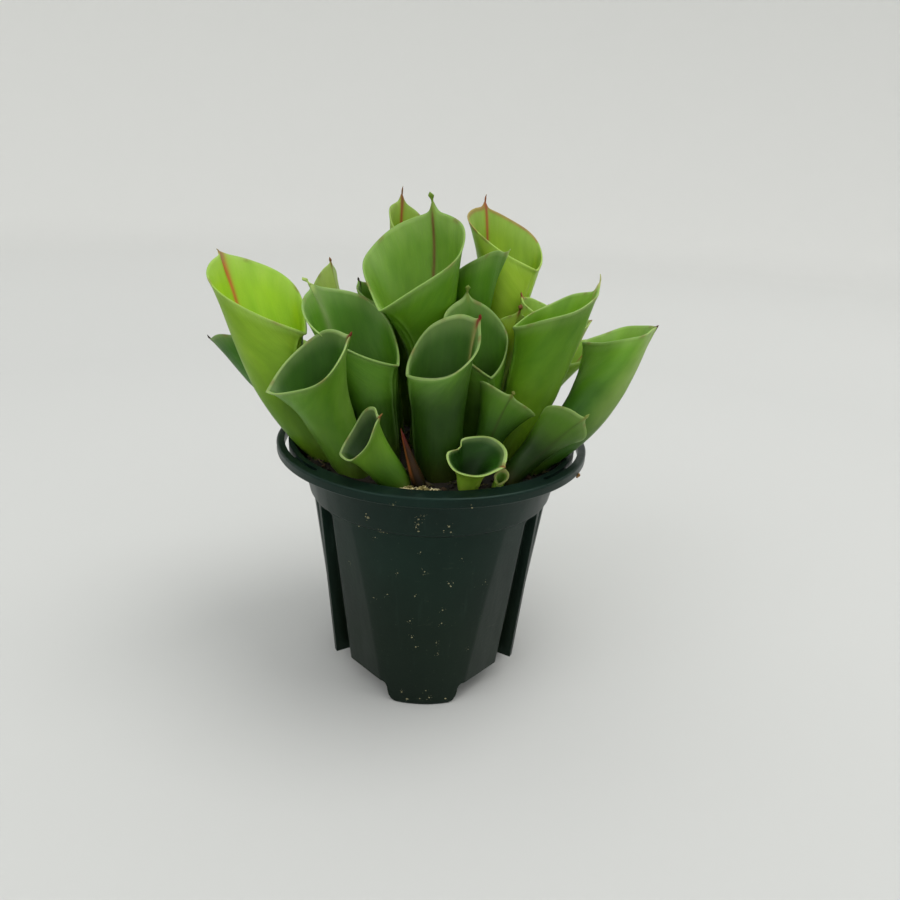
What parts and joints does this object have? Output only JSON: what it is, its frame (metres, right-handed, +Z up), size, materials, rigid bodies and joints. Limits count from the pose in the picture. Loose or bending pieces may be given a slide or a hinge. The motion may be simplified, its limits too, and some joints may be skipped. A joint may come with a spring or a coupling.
{
  "type": "potted pitcher plant",
  "caption": "Clump of rolled, funnel-shaped green pitcher leaves with small pointed hoods, growing in a dark green slotted nursery pot that stands on feet.",
  "frame": {"origin": "on the pot's axis, at the level of the surface that its feet stand on", "axes": "+Z up along the axis of the pot, +X to the right and -Y to the front as the picture shows it, with one foot at the front"},
  "size_m": [0.1507, 0.1064, 0.1638],
  "materials": {
    "pot_plastic": "dark green moulded polypropylene, satin",
    "soil": "rough, damp growing medium",
    "bud_leaf": "reddish brown leaf, satin",
    "pitcher_01_leaf": "fleshy leaf, satin with a pale rolled lip",
    "pitcher_02_leaf": "fleshy leaf, satin with a pale rolled lip",
    "pitcher_03_leaf": "fleshy leaf, satin with a pale rolled lip",
    "pitcher_04_leaf": "fleshy leaf, satin with a pale rolled lip",
    "pitcher_05_leaf": "fleshy leaf, satin with a pale rolled lip",
    "pitcher_06_leaf": "fleshy leaf, satin with a pale rolled lip",
    "pitcher_07_leaf": "fleshy leaf, satin with a pale rolled lip",
    "pitcher_08_leaf": "fleshy leaf, satin with a pale rolled lip",
    "pitcher_09_leaf": "fleshy leaf, satin with a pale rolled lip",
    "pitcher_10_leaf": "fleshy leaf, satin with a pale rolled lip",
    "pitcher_11_leaf": "fleshy leaf, satin with a pale rolled lip",
    "pitcher_12_leaf": "fleshy leaf, satin with a pale rolled lip",
    "pitcher_13_leaf": "fleshy leaf, satin with a pale rolled lip",
    "pitcher_14_leaf": "fleshy leaf, satin with a pale rolled lip",
    "pitcher_15_leaf": "fleshy leaf, satin with a pale rolled lip",
    "pitcher_16_leaf": "fleshy leaf, satin with a pale rolled lip",
    "pitcher_17_leaf": "fleshy leaf, satin with a pale rolled lip",
    "pitcher_18_leaf": "fleshy leaf, satin with a pale rolled lip",
    "pitcher_19_leaf": "fleshy leaf, satin with a pale rolled lip",
    "pitcher_20_leaf": "fleshy leaf, satin with a pale rolled lip",
    "pitcher_21_leaf": "fleshy leaf, satin with a pale rolled lip",
    "pitcher_22_leaf": "fleshy leaf, satin with a pale rolled lip",
    "pitcher_23_leaf": "fleshy leaf, satin with a pale rolled lip",
    "pitcher_24_leaf": "fleshy leaf, satin with a pale rolled lip",
    "pitcher_25_leaf": "fleshy leaf, satin with a pale rolled lip",
    "pitcher_26_leaf": "fleshy leaf, satin with a pale rolled lip",
    "pitcher_27_leaf": "fleshy leaf, satin with a pale rolled lip",
    "pitcher_28_leaf": "fleshy leaf, satin with a pale rolled lip",
    "pitcher_29_leaf": "fleshy leaf, satin with a pale rolled lip"
  },
  "bodies": {
    "root": {"pot": "pot_plastic", "soil": "soil", "leaf_bud": "bud_leaf", "pitcher_01": "pitcher_01_leaf", "pitcher_02": "pitcher_02_leaf", "pitcher_03": "pitcher_03_leaf", "pitcher_04": "pitcher_04_leaf", "pitcher_05": "pitcher_05_leaf", "pitcher_06": "pitcher_06_leaf", "pitcher_07": "pitcher_07_leaf", "pitcher_08": "pitcher_08_leaf", "pitcher_09": "pitcher_09_leaf", "pitcher_10": "pitcher_10_leaf", "pitcher_11": "pitcher_11_leaf", "pitcher_12": "pitcher_12_leaf", "pitcher_13": "pitcher_13_leaf", "pitcher_14": "pitcher_14_leaf", "pitcher_15": "pitcher_15_leaf", "pitcher_16": "pitcher_16_leaf", "pitcher_17": "pitcher_17_leaf", "pitcher_18": "pitcher_18_leaf", "pitcher_19": "pitcher_19_leaf", "pitcher_20": "pitcher_20_leaf", "pitcher_21": "pitcher_21_leaf", "pitcher_22": "pitcher_22_leaf", "pitcher_23": "pitcher_23_leaf", "pitcher_24": "pitcher_24_leaf", "pitcher_25": "pitcher_25_leaf", "pitcher_26": "pitcher_26_leaf", "pitcher_27": "pitcher_27_leaf", "pitcher_28": "pitcher_28_leaf", "pitcher_29": "pitcher_29_leaf"}
  },
  "joints": []
}
